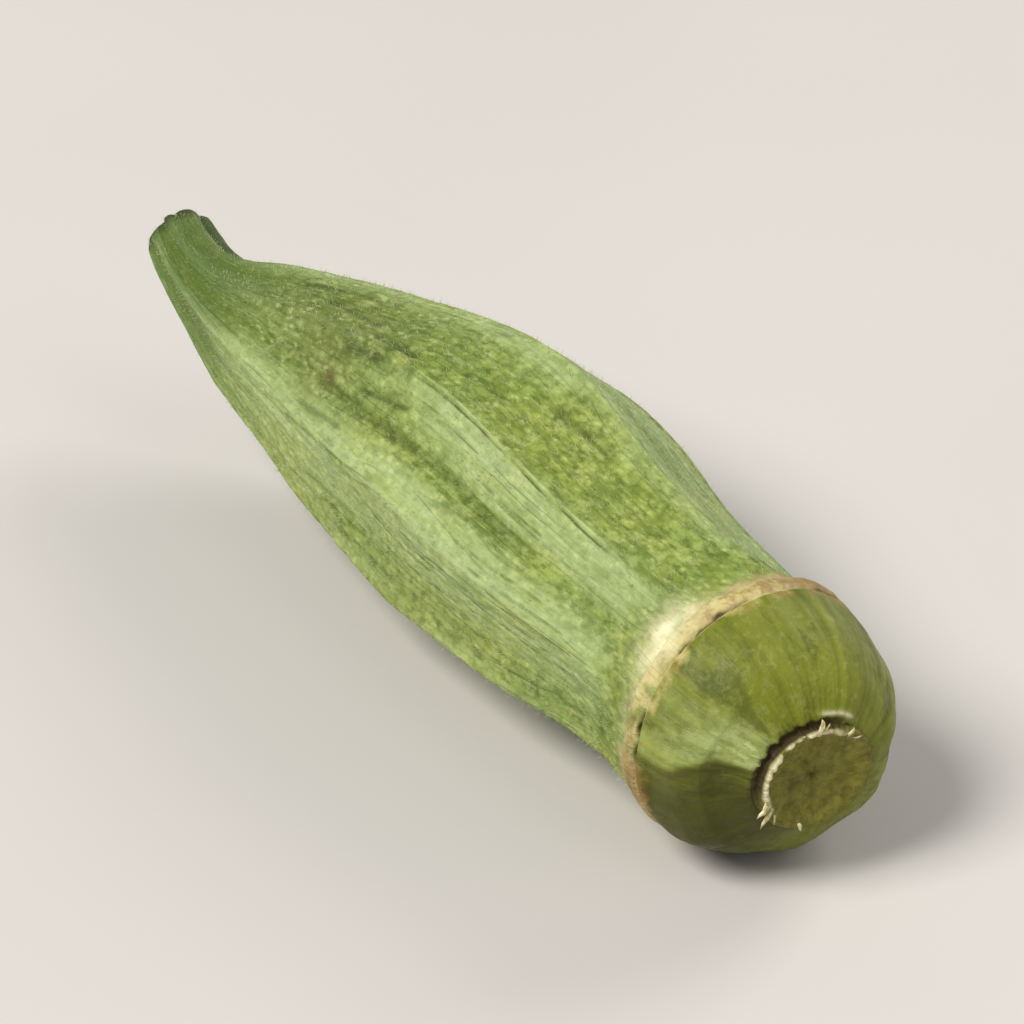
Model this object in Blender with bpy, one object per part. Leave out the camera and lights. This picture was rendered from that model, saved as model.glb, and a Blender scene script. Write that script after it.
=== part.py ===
"""An okra pod with its ring, cap and cut stalk, lying on its belly at its real size.

The pod grew as one piece, so it is one closed body. Its stalk end points to +X and its tip to -X. The
origin is on the surface that the pod lies on, under the middle of its box. Lengths are worked out in
millimetres, and the mesh is made in metres.
"""

import math

import bmesh
import bpy
from mathutils import Vector, noise

MM = 0.001

# Driving dimensions in millimetres. "Along" is measured from the cut end of the stalk to the tip.
POD_LENGTH = 73.0
RING_ALONG = 8.95
RING_RADIUS = 9.65
RING_HALF_WIDTH = 0.85
GROOVE_ALONG = 8.15
GROOVE_RADIUS = 8.95
RING_SHOULDER = 0.15
CAP_RADIUS = 9.45
CAP_SQUARENESS = 2.25
CAP_EDGE_ALONG = 7.85
STALK_RADIUS = 3.8
DISH_RADIUS = 1.9
DISH_DEPTH = 0.45
LIP_WIDTH = 0.7
MOAT_WIDTH = 0.5
MOAT_DEPTH = 0.6

# The pod lies on its belly and on the underside of its ring, so its axis rises a little to the belly
BELLY_ALONG = 35.0
AXIS_HEIGHT = 9.7
AXIS_RISE = 0.006

# The pod's side outline from the ring to the tip, as (along, radius over the ribs)
POD_OUTLINE = (
    (10.0, 9.1),
    (13.5, 8.85),
    (23.0, 9.75),
    (31.0, 10.55),
    (38.5, 10.75),
    (46.5, 9.55),
    (54.0, 7.8),
    (61.6, 5.35),
    (67.3, 3.1),
    (72.0, 2.35),
)

# How the centre line leaves the straight, as (along, offset): the cut stalk turns to -Y, the pod bows
# a little to +Y, and its beak swings to -Y and then lifts
SIDE_BEND = (
    (0.0, -0.6),
    (2.5, -0.15),
    (6.5, 0.0),
    (14.0, 0.0),
    (26.0, 0.1),
    (38.0, 0.7),
    (52.0, -0.6),
    (62.0, -2.4),
    (68.0, -3.3),
    (73.0, -3.0),
)
UP_BEND = ((0.0, 0.0), (30.0, 0.0), (50.0, 0.1), (60.0, 0.5), (67.0, 1.3), (73.0, 3.8))

# Ribs and the faces between them. Angles go round from the top towards -Y.
RIBS = 8
RIB_STEP = 360.0 / RIBS
RIB_TURN = 23.0
RIB_SPREAD = 1.6
RIB_SPREAD_TURN = 40.0
RIB_HEIGHTS = (0.3, 0.12, 0.2, 0.2, 0.24, 0.18, 0.3, 0.16)
RIB_HALF_ANGLE = 3.2
RIB_SHARPNESS = 0.55
RIB_STRENGTH_AT_RING = 0.2
RIBS_START_ALONG = 9.45
RIBS_FULL_ALONG = 17.0
FACE_SINKS = (0.34, 0.0, 0.3, 0.0, 0.26, 0.4, 0.18, 0.28)
CAP_FACETS = 7
CAP_FACET_TURN = 78.0
CAP_FACET_DEPTH = 0.35
CLEAR_OF_STALK = 2.0
CLEAR_OF_RING = 2.5
# Where the pod or the cap is slimmer than this, its relief is shallower in the same measure
FULL_RELIEF_RADIUS = 6.0

# Unevenness from drying: how deep it is, how long each dent is, and how closely the dents lie round the pod
UNEVEN_FROM_ALONG = 15.0
CAP_UNEVENNESS = 0.5
DENT_DEPTH = 0.45
DENT_LENGTH = 13.0
DENTS_ROUND = 1.3
WRINKLE_DEPTH = 0.22
WRINKLE_LENGTH = 9.0
WRINKLES_ROUND = 4.0
RING_WOBBLE = 0.3
RING_WOBBLE_REACH = 2.5
RING_WOBBLES_ROUND = 1.6
RING_WOBBLE_PICK = 3.1

# Mesh fineness
SIDES_PER_RIB = 8
CAP_STEPS = 8
POD_STEPS = 32
STEP_CROWDING = 0.18

# Colours from 0 to 255 as seen on the pod
SKIN_COLOUR = (146, 160, 92)
RING_COLOUR = (172, 158, 98)
CAP_COLOUR = (121, 127, 50)
CUT_COLOUR = (96, 92, 40)
DISPLAY_GAMMA = 2.2


def clear_scene():
    for old in list(bpy.data.objects):
        bpy.data.objects.remove(old, do_unlink=True)


def smooth_step(value, low, high):
    t = min(max((value - low) / (high - low), 0.0), 1.0)
    return t * t * (3.0 - 2.0 * t)


def curve_through(points, x):
    """The height at x of a smooth curve through the points."""
    last = len(points) - 2
    i = min(max(sum(p[0] <= x for p in points) - 1, 0), last)

    def slope(k):
        before = points[max(k - 1, 0)]
        after = points[min(k + 1, len(points) - 1)]
        return (after[1] - before[1]) / (after[0] - before[0])

    (x0, y0), (x1, y1) = points[i], points[i + 1]
    span = x1 - x0
    t = (x - x0) / span
    rise = 3.0 * t**2 - 2.0 * t**3
    start = (t**3 - 2.0 * t**2 + t) * span * slope(i)
    end = (t**3 - t**2) * span * slope(i + 1)
    return y0 + rise * (y1 - y0) + start + end


def noise_round(along, angle, closeness):
    """A smooth random value that meets itself again after one turn round the pod."""
    return noise.noise(Vector((along, closeness * math.sin(angle), closeness * math.cos(angle))))


def centre_line(along):
    """The centre line's point at this distance from the cut end."""
    side = curve_through(SIDE_BEND, along)
    lift = curve_through(UP_BEND, along) + AXIS_RISE * (along - BELLY_ALONG)
    return Vector((-along, side, AXIS_HEIGHT + lift))


def section_axes(along):
    """The upward and the +Y axis of the section at right angles to the centre line."""
    reach = 0.05
    forward = (centre_line(along + reach) - centre_line(along - reach)).normalized()
    up = Vector((0.0, 0.0, 1.0))
    up = (up - forward * up.dot(forward)).normalized()
    return up, forward.cross(up)


def rib_angle(turn):
    """The angle of a point of the section in degrees, with the ribs spaced a little unevenly."""
    spread = RIB_SPREAD * math.sin(math.radians(2.0 * turn + RIB_SPREAD_TURN))
    return RIB_TURN + turn + spread


def ribbed(radius, along, turn):
    """The radius over the ribs, brought in between them to nearly flat, sunken faces."""
    behind_ring = RING_ALONG + RING_HALF_WIDTH
    strength = RIB_STRENGTH_AT_RING * smooth_step(along, RIBS_START_ALONG, POD_OUTLINE[0][0])
    strength += (1.0 - RIB_STRENGTH_AT_RING) * smooth_step(along, behind_ring, RIBS_FULL_ALONG)
    fade = strength * min(1.0, radius / FULL_RELIEF_RADIUS)
    face = int(turn // RIB_STEP) % RIBS
    from_middle = turn % RIB_STEP - RIB_STEP / 2.0
    bowl = math.cos(math.radians(from_middle / RIB_STEP * 180.0)) ** 2
    apothem = math.cos(math.radians(RIB_STEP / 2.0))
    flat = apothem / math.cos(math.radians(from_middle))
    lobed = 1.0 - (1.0 - apothem) * bowl
    section = lobed + RIB_SHARPNESS * (flat - lobed)
    from_rib = RIB_STEP / 2.0 - abs(from_middle)
    rib = face if from_middle < 0.0 else (face + 1) % RIBS
    crest = RIB_HEIGHTS[rib] * math.exp(-((from_rib / RIB_HALF_ANGLE) ** 2))
    sink = FACE_SINKS[face] * bowl
    return radius * (1.0 - strength * (1.0 - section)) + fade * (crest - sink)


def faceted_cap(radius, turn):
    """The cap dried into soft facets that run from the ring to the stalk."""
    step = 360.0 / CAP_FACETS
    from_middle = (rib_angle(turn) - CAP_FACET_TURN) % step - step / 2.0
    bowl = math.cos(math.radians(from_middle / step * 180.0))
    return radius - CAP_FACET_DEPTH * bowl * min(1.0, radius / FULL_RELIEF_RADIUS)


def unevenness(along, angle):
    """Shallow dents and long wrinkles. They fade out underneath, where the pod lies flat."""
    clear_of_ground = smooth_step(math.cos(angle), -0.9, -0.6)
    dents = noise_round(along / DENT_LENGTH, angle, DENTS_ROUND)
    wrinkles = noise_round(along / WRINKLE_LENGTH, angle, WRINKLES_ROUND)
    return clear_of_ground * (DENT_DEPTH * dents + WRINKLE_DEPTH * wrinkles)


def surface_point(along, radius, turn):
    """The skin's point in millimetres on the ring of this radius, at this turn round it."""
    angle = math.radians(rib_angle(turn))
    if along > RIBS_START_ALONG:
        radius = ribbed(radius, along, turn)
        fade = smooth_step(along, RIBS_START_ALONG, UNEVEN_FROM_ALONG)
        fade *= min(1.0, radius / FULL_RELIEF_RADIUS)
        radius += fade * unevenness(along, angle)
    elif along < GROOVE_ALONG and radius > STALK_RADIUS:
        open_part = smooth_step(radius, STALK_RADIUS, STALK_RADIUS + CLEAR_OF_STALK)
        open_part *= smooth_step(GROOVE_ALONG - along, 0.0, CLEAR_OF_RING)
        inward = faceted_cap(radius, turn) - radius
        radius += open_part * (inward + CAP_UNEVENNESS * unevenness(along, angle))
    wobble_size = RING_WOBBLE * math.exp(-(((along - RING_ALONG) / RING_WOBBLE_REACH) ** 2))
    along += wobble_size * noise_round(RING_WOBBLE_PICK, angle, RING_WOBBLES_ROUND)
    up, side = section_axes(along)
    point = centre_line(along) + radius * (math.cos(angle) * up - math.sin(angle) * side)
    point.z = max(point.z, 0.0)
    return point


def stalk_rings():
    """The cut face, dished inside its raised lip, and the moat round the lip."""
    return [
        (DISH_DEPTH, DISH_RADIUS),
        (0.7 * DISH_DEPTH, STALK_RADIUS - LIP_WIDTH),
        (0.0, STALK_RADIUS - 0.3 * LIP_WIDTH),
        (0.1 * DISH_DEPTH, STALK_RADIUS),
        (MOAT_DEPTH, STALK_RADIUS + 0.4 * MOAT_WIDTH),
    ]


def cap_rings():
    """The cap's dome, a quarter of a full ellipse from the moat to its edge over the groove."""
    power = 2.0 / CAP_SQUARENESS
    start_radius = STALK_RADIUS + MOAT_WIDTH
    start = math.asin((start_radius / CAP_RADIUS) ** (1.0 / power))
    top = 0.6 * MOAT_DEPTH
    depth = (CAP_EDGE_ALONG - top) / math.cos(start) ** power
    rings = []
    for step in range(CAP_STEPS + 1):
        angle = start + (math.pi / 2.0 - start) * step / CAP_STEPS
        along = CAP_EDGE_ALONG - depth * abs(math.cos(angle)) ** power
        rings.append((along, CAP_RADIUS * math.sin(angle) ** power))
    return rings


def ring_rings():
    """The groove and the corky ring, a bead round the pod's neck."""
    shoulder = 0.6 * RING_HALF_WIDTH
    return [
        (GROOVE_ALONG, GROOVE_RADIUS),
        (RING_ALONG - shoulder, RING_RADIUS - RING_SHOULDER),
        (RING_ALONG, RING_RADIUS),
        (RING_ALONG + shoulder, RING_RADIUS - RING_SHOULDER),
    ]


def pod_rings():
    """The ribbed pod and its beak, closer together towards the tip, and the tip's blunt end."""
    first, last = POD_OUTLINE[0][0], POD_OUTLINE[-1][0]
    rings = []
    for step in range(POD_STEPS + 1):
        t = step / POD_STEPS
        along = first + (last - first) * ((1.0 + STEP_CROWDING) * t - STEP_CROWDING * t * t)
        rings.append((along, curve_through(POD_OUTLINE, along)))
    tip_radius = POD_OUTLINE[-1][1]
    blunt_length = POD_LENGTH - last
    rings.append((POD_LENGTH - 0.4 * blunt_length, 0.82 * tip_radius))
    rings.append((POD_LENGTH - 0.1 * blunt_length, 0.45 * tip_radius))
    return rings


def make_material(name, colour, roughness):
    material = bpy.data.materials.new(name)
    material.use_nodes = True
    shader = material.node_tree.nodes["Principled BSDF"]
    linear = [(channel / 255.0) ** DISPLAY_GAMMA for channel in colour]
    shader.inputs["Base Color"].default_value = (*linear, 1.0)
    shader.inputs["Roughness"].default_value = roughness
    shader.inputs["Metallic"].default_value = 0.0
    return material


def make_pod():
    zones = (
        ("cut_face", CUT_COLOUR, 0.85, stalk_rings()),
        ("cap", CAP_COLOUR, 0.5, cap_rings()),
        ("ring", RING_COLOUR, 0.85, ring_rings()),
        ("skin", SKIN_COLOUR, 0.65, pod_rings()),
    )
    mesh = bpy.data.meshes.new("okra_pod")
    for name, colour, roughness, _ in zones:
        mesh.materials.append(make_material(name, colour, roughness))

    shape = bmesh.new()
    sides = RIBS * SIDES_PER_RIB
    loops = []
    for zone, (_, _, _, rings) in enumerate(zones):
        for along, radius in rings:
            turns = (360.0 * k / sides for k in range(sides))
            points = [surface_point(along, radius, turn) * MM for turn in turns]
            loops.append((zone, [shape.verts.new(point) for point in points]))

    cut_centre = shape.verts.new(surface_point(DISH_DEPTH, 0.0, 0.0) * MM)
    tip = shape.verts.new(surface_point(POD_LENGTH, 0.0, 0.0) * MM)
    for k in range(sides):
        after = (k + 1) % sides
        first_loop = loops[0][1]
        last_loop = loops[-1][1]
        shape.faces.new((cut_centre, first_loop[k], first_loop[after]))
        shape.faces.new((tip, last_loop[after], last_loop[k])).material_index = loops[-1][0]
    for (_, near), (zone, far) in zip(loops, loops[1:]):
        for k in range(sides):
            after = (k + 1) % sides
            face = shape.faces.new((near[k], far[k], far[after], near[after]))
            face.material_index = zone

    bmesh.ops.triangulate(shape, faces=shape.faces)
    bmesh.ops.recalc_face_normals(shape, faces=shape.faces)
    lows = [min(v.co[axis] for v in shape.verts) for axis in range(2)]
    highs = [max(v.co[axis] for v in shape.verts) for axis in range(2)]
    middle = Vector(((lows[0] + highs[0]) / 2.0, (lows[1] + highs[1]) / 2.0, 0.0))
    bmesh.ops.translate(shape, vec=-middle, verts=shape.verts)
    shape.to_mesh(mesh)
    shape.free()
    mesh.shade_smooth()

    pod = bpy.data.objects.new("okra_pod", mesh)
    bpy.context.scene.collection.objects.link(pod)
    return pod


clear_scene()
make_pod()
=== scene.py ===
"""The looks of a dried okra pod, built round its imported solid.

The pod's skin is made again from the solid's own formulas with a finer mesh, with its keels, creases,
corky ring, streaked cap and torn cut end, and it is covered with short pale bristles. Lengths are
worked out in millimetres, and the meshes are made in metres.
"""

import math
import random

import bpy
import numpy as np
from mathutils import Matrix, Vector, noise


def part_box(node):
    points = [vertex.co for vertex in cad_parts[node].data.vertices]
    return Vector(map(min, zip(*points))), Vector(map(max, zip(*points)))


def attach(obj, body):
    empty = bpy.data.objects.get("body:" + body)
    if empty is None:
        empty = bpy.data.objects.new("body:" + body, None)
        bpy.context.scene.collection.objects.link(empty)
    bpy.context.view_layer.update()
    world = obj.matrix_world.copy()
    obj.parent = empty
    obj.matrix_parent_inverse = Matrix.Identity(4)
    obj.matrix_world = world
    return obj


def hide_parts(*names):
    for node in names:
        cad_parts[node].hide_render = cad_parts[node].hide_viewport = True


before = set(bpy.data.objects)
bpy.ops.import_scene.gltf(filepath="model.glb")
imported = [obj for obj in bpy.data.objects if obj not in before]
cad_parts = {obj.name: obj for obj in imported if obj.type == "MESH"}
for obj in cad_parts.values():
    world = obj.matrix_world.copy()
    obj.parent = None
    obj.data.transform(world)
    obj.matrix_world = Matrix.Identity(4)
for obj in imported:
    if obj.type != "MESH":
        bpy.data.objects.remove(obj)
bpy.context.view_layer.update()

MM = 0.001

# The pod's driving dimensions in millimetres, the same as the solid's. "Along" is measured from the cut
# end of the stalk to the tip, and angles go round from the top towards -Y.
POD_LENGTH = 73.0
RING_ALONG = 8.95
RING_RADIUS = 9.65
RING_HALF_WIDTH = 0.85
GROOVE_ALONG = 8.15
GROOVE_RADIUS = 8.95
RING_SHOULDER = 0.15
CAP_RADIUS = 9.45
CAP_SQUARENESS = 2.25
CAP_EDGE_ALONG = 7.85
STALK_RADIUS = 3.8
DISH_RADIUS = 1.9
DISH_DEPTH = 0.45
LIP_WIDTH = 0.7
MOAT_WIDTH = 0.5
MOAT_DEPTH = 0.6
BELLY_ALONG = 35.0
AXIS_HEIGHT = 9.7
AXIS_RISE = 0.006
POD_OUTLINE = (
    (10.0, 9.1), (13.5, 8.85), (23.0, 9.75), (31.0, 10.55), (38.5, 10.75),
    (46.5, 9.55), (54.0, 7.8), (61.6, 5.35), (67.3, 3.1), (72.0, 2.35),
)
SIDE_BEND = (
    (0.0, -0.6), (2.5, -0.15), (6.5, 0.0), (14.0, 0.0), (26.0, 0.1),
    (38.0, 0.7), (52.0, -0.6), (62.0, -2.4), (68.0, -3.3), (73.0, -3.0),
)
UP_BEND = ((0.0, 0.0), (30.0, 0.0), (50.0, 0.1), (60.0, 0.5), (67.0, 1.3), (73.0, 3.8))
RIBS = 8
RIB_STEP = 360.0 / RIBS
RIB_TURN = 23.0
RIB_SPREAD = 1.6
RIB_SPREAD_TURN = 40.0
RIB_HEIGHTS = (0.3, 0.12, 0.2, 0.2, 0.24, 0.18, 0.3, 0.16)
RIB_HALF_ANGLE = 3.2
RIB_SHARPNESS = 0.55
RIB_STRENGTH_AT_RING = 0.2
RIBS_START_ALONG = 9.45
RIBS_FULL_ALONG = 17.0
FACE_SINKS = (0.34, 0.0, 0.3, 0.0, 0.26, 0.4, 0.18, 0.28)
CAP_FACETS = 7
CAP_FACET_TURN = 78.0
CAP_FACET_DEPTH = 0.35
CLEAR_OF_STALK = 2.0
CLEAR_OF_RING = 2.5
FULL_RELIEF_RADIUS = 6.0
UNEVEN_FROM_ALONG = 15.0
CAP_UNEVENNESS = 0.5
DENT_DEPTH = 0.45
DENT_LENGTH = 13.0
DENTS_ROUND = 1.3
WRINKLE_DEPTH = 0.22
WRINKLE_LENGTH = 9.0
WRINKLES_ROUND = 4.0
RING_WOBBLE = 0.3
RING_WOBBLE_REACH = 2.5
RING_WOBBLES_ROUND = 1.6
RING_WOBBLE_PICK = 3.1
STEP_CROWDING = 0.18

# How fine the skin's mesh is
SIDES = 360
CUT_SPACING = 0.2
RIM_SPACING = 0.09
CAP_STATIONS = 38
RING_STATIONS = 24
POD_STATIONS = 174
TIP_STATIONS = 7

# Each rib's keel: its height, how plain its pale line of painted highlight is, how deep the seam beside
# it is (which also sets its painted shadow line), how much its edge is rounded off, and between which
# distances along the pod the keel is crisp
KEEL_HEIGHTS = (0.045, 0.02, 0.04, 0.04, 0.05, 0.03, 0.05, 0.02)
KEEL_LINES = (0.8, 0.1, 0.4, 0.5, 0.7, 0.3, 0.6, 0.2)
SEAM_DEPTHS = (0.05, 0.0, 0.03, 0.05, 0.03, 0.04, 0.03, 0.0)
KEEL_ROUNDING = (0.1, 0.1, 0.0, 0.0, 0.04, 0.0, 0.04, 0.22)
KEEL_STARTS = (20.0, 20.0, 22.0, 18.0, 24.0, 18.0, 20.0, 24.0)
KEEL_ENDS = (39.0, 40.0, 52.0, 44.0, 50.0, 40.0, 48.0, 44.0)
KEEL_WIDTH = 0.22
SEAM_OFFSET = 0.3
SEAM_WIDTH = 0.18
ROUNDING_ANGLE = 7.0

# How pale the dusty bloom is round the pod, as (angle, share)
BLOOM_ROUND = (
    (-21.0, 0.6), (-12.0, 0.16), (0.0, 0.08), (14.0, 0.1), (23.0, 0.25),
    (27.0, 0.95), (35.0, 1.0), (42.0, 0.72), (48.0, 0.12), (54.0, 0.42),
    (61.0, 0.85), (76.0, 0.95), (88.0, 0.7), (100.0, 0.35), (112.0, 0.6),
    (122.0, 0.95), (133.0, 0.75), (141.0, 0.15), (154.0, 0.2), (163.0, 0.85),
    (172.0, 0.8), (184.0, 0.15), (200.0, 0.25), (209.0, 0.95), (218.0, 0.8),
    (228.0, 0.1), (244.0, 0.2), (254.0, 0.95), (264.0, 0.85), (274.0, 0.15),
    (289.0, 0.25), (299.0, 0.95), (308.0, 0.7), (318.0, 0.35), (328.0, 0.75),
    (339.0, 0.6),
)

# Creases in the dried skin, as angle and distance along at one end, the same at the other end, depth
# and half-width. The folds are broad ones, such as the valley between two ribs, and each also says how
# much painted shade darkens its hollow.
FOLDS = (
    (47.0, 22.0, 49.0, 54.0, 0.16, 0.5, 0.6),
    (17.5, 42.5, 17.0, 49.0, 0.22, 0.4, 1.0),
    (13.0, 47.5, 5.0, 56.5, 0.16, 0.34, 0.8),
    (5.0, 34.0, 15.5, 40.5, 0.12, 0.3, 0.55),
    (-12.5, 25.5, -7.0, 33.5, 0.14, 0.46, 0.5),
    (26.0, 44.0, 29.0, 50.0, 0.14, 0.28, 0.8),
    (37.0, 40.0, 41.0, 46.5, 0.12, 0.28, 0.7),
    (60.0, 45.0, 64.0, 52.0, 0.1, 0.3, 0.5),
    (-9.0, 51.0, -4.0, 60.0, 0.14, 0.3, 0.7),
    (118.0, 22.0, 121.0, 36.0, 0.1, 0.4, 0.5),
    (185.0, 20.0, 181.0, 41.0, 0.1, 0.45, 0.6),
    (228.0, 28.0, 225.0, 53.0, 0.13, 0.5, 0.6),
    (276.0, 18.0, 273.0, 38.0, 0.12, 0.45, 0.6),
    (317.0, 36.0, 322.0, 55.0, 0.1, 0.4, 0.5),
)
CREASES = (
    (45.6, 21.0, 46.6, 37.0, 0.05, 0.16),
    (50.4, 17.0, 50.8, 34.0, 0.05, 0.15),
    (53.0, 24.0, 52.0, 40.0, 0.03, 0.13),
    (60.0, 19.0, 62.0, 31.0, 0.04, 0.13),
    (65.0, 16.0, 66.0, 29.0, 0.05, 0.14),
    (70.0, 14.5, 69.0, 27.0, 0.04, 0.12),
    (75.0, 18.0, 77.0, 33.0, 0.05, 0.14),
    (82.0, 17.0, 80.0, 28.0, 0.03, 0.12),
    (88.0, 26.0, 90.0, 44.0, 0.04, 0.14),
    (31.0, 30.0, 33.0, 44.0, 0.02, 0.12),
    (1.0, 52.0, -1.0, 61.0, 0.06, 0.18),
    (22.0, 50.0, 17.0, 58.0, 0.06, 0.18),
    (33.0, 47.0, 34.0, 57.0, 0.05, 0.17),
    (50.0, 44.0, 52.0, 52.0, 0.05, 0.16),
    (70.0, 40.0, 73.0, 54.0, 0.04, 0.16),
    (-8.0, 37.0, -13.0, 47.0, 0.05, 0.18),
)
RANDOM_CREASES = 40
CREASE_SEED = 7

# Where the marks on the skin lie, as angles round the pod and distances along it
WORN_ANGLE = 32.0
WORN_FROM = 32.0
WORN_TO = 47.0
DUSTY_TOP_ANGLE = -20.0
DUSTY_SIDE_ANGLE = 90.0
UPPER_FACE_ANGLE = 1.0
DULL_ANGLE = 14.0
SHADED_TIP_ANGLE = -52.0
BLEMISH_ALONG = 49.6
BLEMISH_ANGLE = 45.5
BLEMISH_SIZE = 0.75
TANNED_ALONG = 51.0
TANNED_ANGLE = 41.0
TANNED_SIZE = 2.6
BARE_CORK_ANGLE = 68.0
CREAM_ALONG = 10.4
CREAM_ANGLE = 37.0
CREAM_SPREAD = 19.0
FAR_CREAM_ANGLE = 205.0
CAP_FOLD_ANGLE = 72.0
CAP_FOLD_SWING = 13.0
CAP_SHADOW_ALONG = 5.4
CAP_SHADOW_ANGLE = 30.0
TORN_ANGLE = 38.0
TORN_SPREAD = 88.0

# The torn rim's hook: a hole in its crack, and a pale arc of skin round it
HOOK_ANGLE = -22.0
HOOK_SPREAD = 17.0
HOOK_GAP = 0.98

# Where the groove beside the cap is split open, as angle, spread and share
SPLITS = ((22.0, 22.0, 1.0), (80.0, 15.0, 1.0), (-44.0, 14.0, 0.8))

# How far the finer forms stand out or sink, in millimetres
UPPER_FACE_SWELL = 0.14
SHOULDER_ROUNDING = 0.14
SOFT_DENTS = 0.12
UNDULATION = 0.09
RIPPLES = 0.05
PEBBLES = 0.035
BEAK_FLUTES = 0.2
TIP_LUMPS = 0.35
RING_LUMPS = 0.07
RING_GRIT = 0.04
RING_SWELLS = 0.14
RING_CRACK_DEPTH = 0.34
GROOVE_FILLING = 0.36
CAP_STREAKS = 0.04
CAP_FINE_STREAKS = 0.018
CAP_SWELL = 0.16
CAP_FOLD_DEPTH = 0.4
STALK_CRACK_DEPTH = 0.35
HOOK_HEIGHT = 0.2
CUT_ROUGHNESS = 0.06
CUT_FIBRES = 0.07

# The bristles: how many, and their least and greatest length, radius, lean towards the tip and how
# high their roots stay over the ground
HAIRS = 11000
HAIR_LENGTH = (0.16, 0.6)
HAIR_RADIUS = 0.016
HAIR_LEAN = 0.55
HAIR_SEED = 41
HAIR_CLEARANCE = 0.35
HAIR_SIDES = 3
HAIR_ROOT_DEPTH = 0.06

# Torn fibres on the rim of the cut stalk: the angle, length, lean round the rim and thickness of each,
# and how far it points away from the pod
TORN_FIBRES = (
    (-2.0, 1.5, 0.05, 0.2, 0.4),
    (-6.0, 0.9, -0.3, 0.13, 0.7),
    (-41.0, 0.7, 0.3, 0.15, 0.6),
    (-50.0, 0.5, -0.3, 0.1, 1.1),
    (14.0, 0.35, 0.4, 0.08, 1.0),
    (61.0, 0.4, -0.3, 0.1, 0.9),
    (103.0, 0.6, 0.4, 0.13, 0.8),
    (112.0, 1.1, -0.1, 0.2, 0.5),
    (119.0, 1.3, 0.15, 0.2, 0.45),
    (127.0, 0.6, 0.5, 0.12, 0.9),
    (163.0, 0.5, 0.1, 0.13, 1.0),
)
FIBRE_SIDES = 4
FIBRE_RIM_INSET = 0.12

# Camera and light
VIEW_AZIMUTH = 55.0
VIEW_ELEVATION = 36.0
VIEW_DISTANCE = 0.62
LENS = 320.0
TARGET = Vector((0.0, 0.0, 0.0088))
FLOOR_HALF_WIDTH = 3.0
FLOOR_DROP = 0.00002

# Each light's name, azimuth, elevation, distance, size and power
LIGHTS = (
    ("key", -2.0, 52.0, 0.9, 0.45, 9.2),
    ("fill", 115.0, 38.0, 1.2, 0.9, 2.4),
    ("rim", 190.0, 34.0, 1.0, 0.5, 4.5),
)

# Colours from 0 to 255
GREEN = (124, 144, 64)
YELLOW_GREEN = (148, 158, 62)
OLIVE = (116, 128, 38)
# dark olive mottling and streaks, also used as painted shade in the creases and the beak's grooves
DARK_OLIVE = (82, 100, 24)
PALE_BLOOM = (168, 182, 126)
# pale specks, also the painted highlight along each keel
PALE_DOT = (198, 206, 132)
DARK_DOT = (64, 82, 16)
# painted shadow line below each keel
SEAM_SHADOW = (54, 66, 18)
# painted shade in the folds
FOLD_SHADE = (46, 62, 14)
BEAK_GREEN = (84, 110, 52)
DULL_OLIVE = (94, 103, 54)
# the tip's own dark end, also painted shade along one side of the beak
TIP_DARK = (44, 56, 20)
CRACK_BROWN = (60, 48, 16)
CORK_TAN = (190, 174, 108)
CORK_BROWN = (140, 110, 52)
CREAM = (234, 225, 180)
CAP_OLIVE = (100, 106, 14)
CAP_LIGHT = (124, 130, 34)
CAP_DARK = (74, 82, 4)
# pale specks on the cap, and its painted highlight
CAP_PALE = (178, 191, 120)
CAP_SHADE = (52, 52, 0)
CUT_OLIVE = (136, 132, 52)
CUT_BROWN = (98, 90, 32)
BLEMISH_BROWN = (94, 88, 44)
HAIR_COLOUR = (206, 212, 166)
FLOOR_COLOUR = (198, 192, 184)


def ramp(value, low, high):
    """A smooth rise from zero at low to one at high."""
    t = min(max((value - low) / (high - low), 0.0), 1.0)
    return t * t * (3.0 - 2.0 * t)


def bump_at(distance, width):
    """A bell of height one round a distance of zero."""
    return math.exp(-((distance / width) ** 2))


def noise_at(x, y, z):
    return noise.noise(Vector((x, y, z)))


def noise_round(along, angle, closeness):
    """A smooth random value that meets itself again after one turn round the pod."""
    return noise_at(along, closeness * math.sin(angle), closeness * math.cos(angle))


def turn_between(angle, centre):
    """How far the angle is from the centre in degrees, from -180 to 180."""
    return (angle - centre + 180.0) % 360.0 - 180.0


def bump_round(degrees, centre, width):
    """A bell of height one round this angle."""
    return bump_at(turn_between(degrees, centre), width)


def curve_through(points, x):
    """The height at x of a smooth curve through the points."""
    last = len(points) - 2
    i = min(max(sum(p[0] <= x for p in points) - 1, 0), last)

    def slope(k):
        before = points[max(k - 1, 0)]
        after = points[min(k + 1, len(points) - 1)]
        return (after[1] - before[1]) / (after[0] - before[0])

    (x0, y0), (x1, y1) = points[i], points[i + 1]
    span = x1 - x0
    t = (x - x0) / span
    rise = 3.0 * t**2 - 2.0 * t**3
    start = (t**3 - 2.0 * t**2 + t) * span * slope(i)
    end = (t**3 - t**2) * span * slope(i + 1)
    return y0 + rise * (y1 - y0) + start + end


def centre_line(along):
    """The centre line's point at this distance from the cut end."""
    side = curve_through(SIDE_BEND, along)
    lift = curve_through(UP_BEND, along) + AXIS_RISE * (along - BELLY_ALONG)
    return Vector((-along, side, AXIS_HEIGHT + lift))


def section_axes(along):
    """The upward and the +Y axis of the section at right angles to the centre line."""
    reach = 0.05
    forward = (centre_line(along + reach) - centre_line(along - reach)).normalized()
    up = Vector((0.0, 0.0, 1.0))
    up = (up - forward * up.dot(forward)).normalized()
    return up, forward.cross(up)


def rib_angle(turn):
    """The angle of a point of the section in degrees, with the ribs spaced a little unevenly."""
    spread = RIB_SPREAD * math.sin(math.radians(2.0 * turn + RIB_SPREAD_TURN))
    return RIB_TURN + turn + spread


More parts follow.
